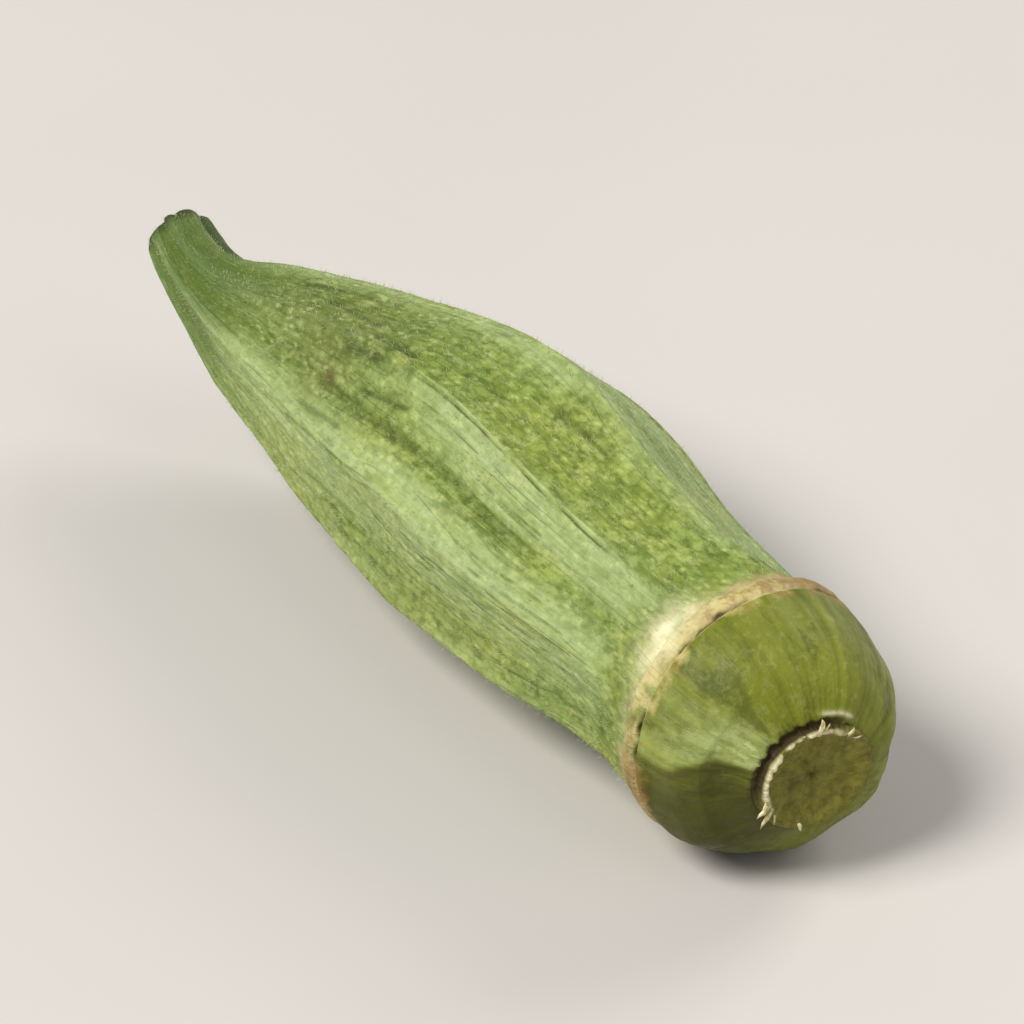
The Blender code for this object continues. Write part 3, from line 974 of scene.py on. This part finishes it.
def pod_colour(s, grain, place, patches, blotches, lines, seam, crest):
    """The ribbed skin: mottled olive faces, a dusty bloom, streaks, speckles and a blemish, with painted
    shade in the folds, the creases and the beak's grooves, a painted highlight along each keel with a
    painted shadow line below it, and painted shade on one side of the beak.
    """
    long_grain = s.stretched(grain, (0.1, 1.0, 1.0))
    streaks = s.between(s.noise(long_grain, 1.1, 3.0, 0.6), 0.35, 0.65)
    fine_streaks = s.between(s.noise(long_grain, 3.4, 2.0, 0.6), 0.35, 0.65)
    ragged = s.between(s.noise(place, 2300.0, 2.0), 0.2, 0.8, -0.2, 0.2)
    dots = s.math("ADD", s.cells(s.stretched(grain, (0.7, 1.0, 1.0)), 1.7), ragged)
    pale_dots = s.between(dots, 0.12, 0.4, 1.0, 0.0)
    net = s.between(dots, 0.42, 0.85)
    dark_dots = s.between(s.noise(s.stretched(grain, (0.5, 1.0, 1.0)), 1.5, 3.0, 0.6), 0.52, 0.62)
    pale_flecks = s.between(s.noise(s.stretched(place, (0.6, 1.0, 1.0)), 1350.0, 3.0, 0.6), 0.5, 0.72)
    dot_gate = s.between(s.noise(grain, 0.5, 3.0), 0.4, 0.6)

    bloom, beak = s.mark("bloom"), s.mark("beak")
    bare = s.times(s.from_to(bloom, 1.0, 0.0), s.from_to(beak, 1.0, 0.2))
    colour = s.mix(patches, GREEN, YELLOW_GREEN)
    stains = s.between(s.noise(place, 330.0, 2.0), 0.42, 0.66)
    colour = s.mix(s.times(bare, s.from_to(blotches, 0.0, 0.7)), colour, OLIVE)
    colour = s.mix(s.times(bare, stains, 0.35), colour, DARK_OLIVE)
    colour = s.mix(s.times(s.mark("dull"), 0.7), colour, DULL_OLIVE)
    colour = s.mix(s.times(beak, 0.9), colour, BEAK_GREEN)
    colour = s.mix(s.times(bloom, s.from_to(streaks, 0.55, 0.95)), colour, PALE_BLOOM)
    colour = s.mix(s.times(net, s.from_to(bare, 0.2, 0.5)), colour, DARK_OLIVE)
    colour = s.mix(s.times(fine_streaks, 0.22), colour, DARK_OLIVE)
    # painted shade in the beak's grooves
    grooves = s.times(s.mark("groove"), s.from_to(streaks, 0.95, 0.65))
    colour = s.mix(grooves, colour, DARK_OLIVE)
    colour = s.mix(s.times(dark_dots, s.from_to(bare, 0.12, 0.5)), colour, DARK_DOT)
    # dark lines: the skin's own stray lines, and painted shade along the creases
    colour = s.mix(s.times(lines, 0.6), colour, DARK_OLIVE)
    speckles = s.math("MAXIMUM", s.times(pale_dots, dot_gate), s.times(pale_flecks, 0.8))
    speckles = s.times(speckles, s.from_to(beak, 0.38, 0.12))
    colour = s.mix(speckles, colour, PALE_DOT)
    # painted shade in the folds' hollows
    folds = s.times(s.mark("fold"), s.from_to(streaks, 0.9, 0.5))
    colour = s.mix(folds, colour, FOLD_SHADE)
    # painted highlight along each keel
    colour = s.mix(s.times(crest, 0.55), colour, PALE_DOT)
    # painted shadow line below each keel
    colour = s.mix(s.times(seam, 0.75), colour, SEAM_SHADOW)
    brown = s.times(s.mark("brown"), s.from_to(blotches, 0.35, 1.0))
    colour = s.mix(brown, colour, BLEMISH_BROWN)
    # the tip's own dark end, and painted shade along one side of the beak
    colour = s.mix(s.times(s.mark("tip"), 0.9), colour, TIP_DARK)
    return colour, pale_dots, net


def cap_colour(s, grain, place, patches, blotches):
    """The cap: olive with soft streaks, a painted highlight beside its fold, and painted shade under its
    fold.
    """
    streaks = s.between(s.mark("streak"), 0.1, 0.85, 0.0, 0.6)
    cap = s.mix(s.math("ADD", streaks, s.times(patches, 0.4)), CAP_OLIVE, CAP_LIGHT)
    cap = s.mix(s.between(s.mark("streak"), 0.4, 0.0, 0.0, 0.45), cap, CAP_DARK)
    smudge = s.noise(s.stretched(grain, (0.5, 1.0, 1.0)), 0.42, 4.0, 0.65)
    smudge = s.math("ADD", smudge, s.times(s.mark("shadow"), 0.12))
    # breaks the painted highlight beside the fold into patches
    highlight_breakup = s.between(s.noise(s.stretched(grain, (0.5, 1.0, 1.0)), 0.8, 3.0, 0.6), 0.35, 0.62, 0.35, 1.0)
    cap = s.mix(s.times(s.mark("shine"), highlight_breakup), cap, CAP_PALE)
    cap = s.mix(s.times(s.between(smudge, 0.52, 0.64), 0.65), cap, CAP_DARK)
    cap = s.mix(s.times(blotches, 0.2), cap, CAP_DARK)
    specks = s.between(s.noise(place, 1500.0, 4.0, 0.65), 0.5, 0.7)
    cap = s.mix(s.times(specks, 0.16), cap, CAP_PALE)
    # painted shade under the cap's fold
    return s.mix(s.times(s.mark("shade_under_fold"), 0.8), cap, CAP_SHADE)


def cork_colour(s, place):
    """The ring's cork, from tan to brown, in grains."""
    grains = s.between(s.noise(place, 900.0, 4.0, 0.65), 0.38, 0.62)
    brown = s.between(s.math("ADD", s.times(grains, 0.6), s.mark("tan")), 0.35, 1.3)
    return s.mix(brown, CORK_TAN, CORK_BROWN)


def skin_material():
    s = Shader("okra_skin")
    place = s.add("ShaderNodeTexCoord").outputs["Object"]
    grain = s.vector("grain")
    patches = s.between(s.noise(place, 130.0), 0.35, 0.65)
    blotches = s.between(s.noise(place, 620.0, 3.0), 0.4, 0.62)
    lines, seam, crest = skin_lines(s, grain)
    colour, pale_dots, net = pod_colour(s, grain, place, patches, blotches, lines, seam, crest)
    colour = s.mix(s.mark("cap"), colour, cap_colour(s, grain, place, patches, blotches))
    worn = s.between(s.noise(place, 700.0, 3.0, 0.6), 0.3, 0.7, -0.25, 0.25)
    ring = s.math("ADD", s.mark("ring"), s.times(worn, s.between(s.mark("ring"), 0.0, 0.3)))
    colour = s.mix(s.between(ring, 0.1, 0.8), colour, cork_colour(s, place))
    cream = s.math("ADD", s.mark("pale"), s.times(worn, s.between(s.mark("pale"), 0.0, 0.5), 0.6))
    colour = s.mix(cream, colour, CREAM)

    wood = s.mix(s.between(s.noise(place, 1300.0, 4.0, 0.65), 0.3, 0.75), CUT_OLIVE, CUT_BROWN)
    colour = s.mix(s.mark("cut"), colour, wood)
    colour = s.mix(s.mark("lip"), colour, CREAM)
    colour = s.mix(s.mark("crack"), colour, CRACK_BROWN)

    gloss = s.times(s.mark("cap"), -0.14)
    roughness = s.math("ADD", gloss, s.from_to(blotches, 0.6, 0.72))
    s.fill(s.surface, {"Base Color": colour, "Roughness": roughness, "Specular IOR Level": 0.26})
    s.fill(s.surface, {"Sheen Weight": 0.04, "Sheen Roughness": 0.5, "Sheen Tint": linear(PALE_DOT)})

    smooth_cap = s.from_to(s.mark("cap"), 1.0, 0.15)
    ripples = s.times(s.noise(s.stretched(grain, (0.1, 1.0, 1.0)), 4.2, 3.0, 0.6), 0.8)
    height = s.math("ADD", ripples, s.noise(place, 2600.0, 3.0, 0.6))
    height = s.math("ADD", height, s.times(pale_dots, smooth_cap, 0.35))
    height = s.math("SUBTRACT", height, s.times(net, smooth_cap, 0.35))
    height = s.math("SUBTRACT", height, s.times(lines, smooth_cap, 0.7))
    height = s.math("SUBTRACT", height, seam)
    height = s.math("ADD", height, s.times(crest, 0.6))
    bump = s.add("ShaderNodeBump")
    s.fill(bump, {"Strength": 0.7, "Distance": 0.00012, "Height": height})
    s.put(bump.outputs["Normal"], s.surface.inputs["Normal"])
    return s.material


def hair_material():
    s = Shader("pod_bristle")
    place = s.add("ShaderNodeTexCoord").outputs["Object"]
    tint = s.between(s.noise(place, 400.0, 2.0), 0.35, 0.65)
    s.fill(s.surface, {"Base Color": s.mix(tint, HAIR_COLOUR, PALE_BLOOM), "Roughness": 0.5})
    return s.material


def add_spike(vertices, faces, rings, point):
    """Adds a closed spike: its rings of corners from the root up, and its point, in millimetres."""
    base, corners = len(vertices), len(rings[0])
    for ring in rings:
        vertices.extend(tuple(corner * MM) for corner in ring)
    vertices.append(tuple(point * MM))
    last = base + corners * (len(rings) - 1)
    for k in range(corners):
        after = (k + 1) % corners
        for low in range(base, last, corners):
            high = low + corners
            faces.append((low + k, low + after, high + after, high + k))
        faces.append((last + k, last + after, last + corners))
    faces.append(tuple(range(base + corners - 1, base - 1, -1)))


def make_hairs(grid, material):
    """Short bristles that stand out of the ribbed skin and lean towards the tip."""
    points, normals, _, marks = grid
    rows = len(points)
    first_row = rows - POD_STATIONS - TIP_STATIONS - 1
    draw = random.Random(HAIR_SEED)
    widest = max(radius for _, radius in POD_OUTLINE)
    shortest, longest = HAIR_LENGTH
    vertices, faces = [], []
    made = 0
    while made < HAIRS:
        i = first_row + int(draw.random() ** 0.9 * (rows - first_row - 2))
        k = draw.randrange(SIDES)
        span = float(np.linalg.norm(points[i].max(axis=0)[1:] - points[i].min(axis=0)[1:])) / 2.0
        on_keel = bump_at(float(marks["from_crest"][i, k]), 0.7)
        keep = span / widest * (0.5 + 0.5 * on_keel) * (1.0 - 0.8 * float(marks["ring"][i, k]))
        slide, swing = draw.random(), draw.random()
        length = shortest + (longest - shortest) * draw.random() ** 2 * span / widest
        sway = Vector((draw.gauss(0.0, 0.28), draw.gauss(0.0, 0.28), draw.gauss(0.0, 0.28)))
        if draw.random() > keep:
            continue
        down_pod = points[i + 1, k] - points[i, k]
        round_pod = points[i, (k + 1) % SIDES] - points[i, k]
        root = Vector(points[i, k] + slide * down_pod + swing * round_pod)
        normal = Vector(normals[i, k])
        if root.z < HAIR_CLEARANCE:
            continue
        tipward = Vector(down_pod).normalized()
        start = (normal + 0.3 * HAIR_LEAN * tipward + 0.5 * sway).normalized()
        end = (normal + HAIR_LEAN * tipward + sway).normalized()
        middle = root + 0.5 * length * start
        point = middle + 0.5 * length * end
        if point.z < 0.0:
            continue
        side = normal.cross(tipward).normalized()
        other = start.cross(side).normalized()
        turns = [math.tau * corner / HAIR_SIDES for corner in range(HAIR_SIDES)]
        spots = ((root - HAIR_ROOT_DEPTH * normal, HAIR_RADIUS), (middle, 0.7 * HAIR_RADIUS))
        rings = [
            [centre + radius * (math.cos(turn) * side + math.sin(turn) * other) for turn in turns]
            for centre, radius in spots
        ]
        add_spike(vertices, faces, rings, point)
        made += 1
    return new_object("pod_bristles", vertices, faces, material)


def cut_radius(points, row):
    """The radius of this ring of the cut end, in millimetres."""
    return float(np.linalg.norm(points[row] - points[row].mean(axis=0), axis=1).mean())


def make_torn_fibres(grid, material):
    """Short splinters that stand up from the torn rim, each a bent four-sided spike."""
    points, _, _, _ = grid
    cut_rows = range(len(cut_stations()) - 1)
    rim = min(cut_rows, key=lambda i: abs(cut_radius(points, i) - (STALK_RADIUS - FIBRE_RIM_INSET)))
    stalkward = Vector((1.0, 0.0, 0.0))
    turns = [math.tau * corner / FIBRE_SIDES for corner in range(FIBRE_SIDES)]
    vertices, faces = [], []
    for degrees, length, lean, thickness, rise in TORN_FIBRES:
        k = min(range(SIDES), key=lambda j: abs(turn_between(rib_angle(360.0 * j / SIDES), degrees)))
        root = Vector(points[rim, k])
        outward = Vector(points[rim, k] - points[rim].mean(axis=0)).normalized()
        around = stalkward.cross(outward).normalized()
        way = (outward + rise * stalkward + lean * around).normalized()
        side = way.cross(around).normalized()
        bend = (way - 0.5 * rise * stalkward + 0.3 * lean * around).normalized()
        knee = root + 0.35 * length * way
        spots = ((root - 0.25 * way, 1.0), (knee, 0.85), (knee + 0.4 * length * bend, 0.5))
        shifts = [1.6 * math.cos(turn) * around + 0.7 * math.sin(turn) * side for turn in turns]
        rings = [[spot + thickness * share * shift for shift in shifts] for spot, share in spots]
        point = spots[-1][0] + 0.3 * length * bend + 0.1 * length * around
        add_spike(vertices, faces, rings, point)
    return new_object("torn_fibres", vertices, faces, material)


def fibre_material():
    s = Shader("torn_fibre")
    place = s.add("ShaderNodeTexCoord").outputs["Object"]
    tint = s.between(s.noise(place, 2200.0, 3.0), 0.35, 0.65)
    s.fill(s.surface, {"Base Color": s.mix(tint, CREAM, CORK_TAN), "Roughness": 0.75})
    return s.material


def direction(azimuth, elevation):
    """The way from the pod towards a camera or a light there. Azimuth 0 is at -Y and 90 at +X."""
    a, e = math.radians(azimuth), math.radians(elevation)
    return Vector((math.sin(a) * math.cos(e), -math.cos(a) * math.cos(e), math.sin(e)))


def aim(thing, place):
    thing.location = place
    thing.rotation_mode = "QUATERNION"
    thing.rotation_quaternion = (TARGET - place).to_track_quat("-Z", "Y")


def make_camera():
    camera = bpy.data.objects.new("camera", bpy.data.cameras.new("camera"))
    bpy.context.scene.collection.objects.link(camera)
    camera.data.lens = LENS
    camera.data.sensor_width = 36.0
    camera.data.clip_start = 0.01
    camera.data.clip_end = 20.0
    aim(camera, TARGET + VIEW_DISTANCE * direction(VIEW_AZIMUTH, VIEW_ELEVATION))
    bpy.context.scene.camera = camera


def make_light(name, azimuth, elevation, distance, size, power):
    """A round soft light that faces the pod."""
    light = bpy.data.lights.new(name, "AREA")
    light.shape = "DISK"
    light.size = size
    light.energy = power
    lamp = bpy.data.objects.new(name, light)
    bpy.context.scene.collection.objects.link(lamp)
    aim(lamp, TARGET + distance * direction(azimuth, elevation))


def make_stage():
    s = Shader("pale_floor")
    place = s.add("ShaderNodeTexCoord").outputs["Object"]
    tone = s.between(s.noise(place, 9.0, 3.0), 0.3, 0.7)
    darker = tuple(0.97 * value for value in FLOOR_COLOUR)
    s.fill(s.surface, {"Base Color": s.mix(tone, FLOOR_COLOUR, darker), "Roughness": 0.8})
    half = FLOOR_HALF_WIDTH
    corners = [(-half, -half, 0.0), (half, -half, 0.0), (half, half, 0.0), (-half, half, 0.0)]
    floor = new_object("floor", corners, [(0, 1, 2, 3)], s.material)
    floor.location.z = -FLOOR_DROP
    world = bpy.data.worlds.new("studio")
    world.use_nodes = True
    background = world.node_tree.nodes["Background"]
    background.inputs["Color"].default_value = (0.9, 0.93, 1.0, 1.0)
    background.inputs["Strength"].default_value = 0.28
    bpy.context.scene.world = world


GRID = skin_grid()
skin = make_skin(GRID, skin_material())
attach(skin, "root")
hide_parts("okra_pod")
hairs = make_hairs(GRID, hair_material())
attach(hairs, "root")
fibres = make_torn_fibres(GRID, fibre_material())
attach(fibres, "root")
make_stage()
make_camera()
for light_facts in LIGHTS:
    make_light(*light_facts)
bpy.context.scene.view_settings.view_transform = "Standard"
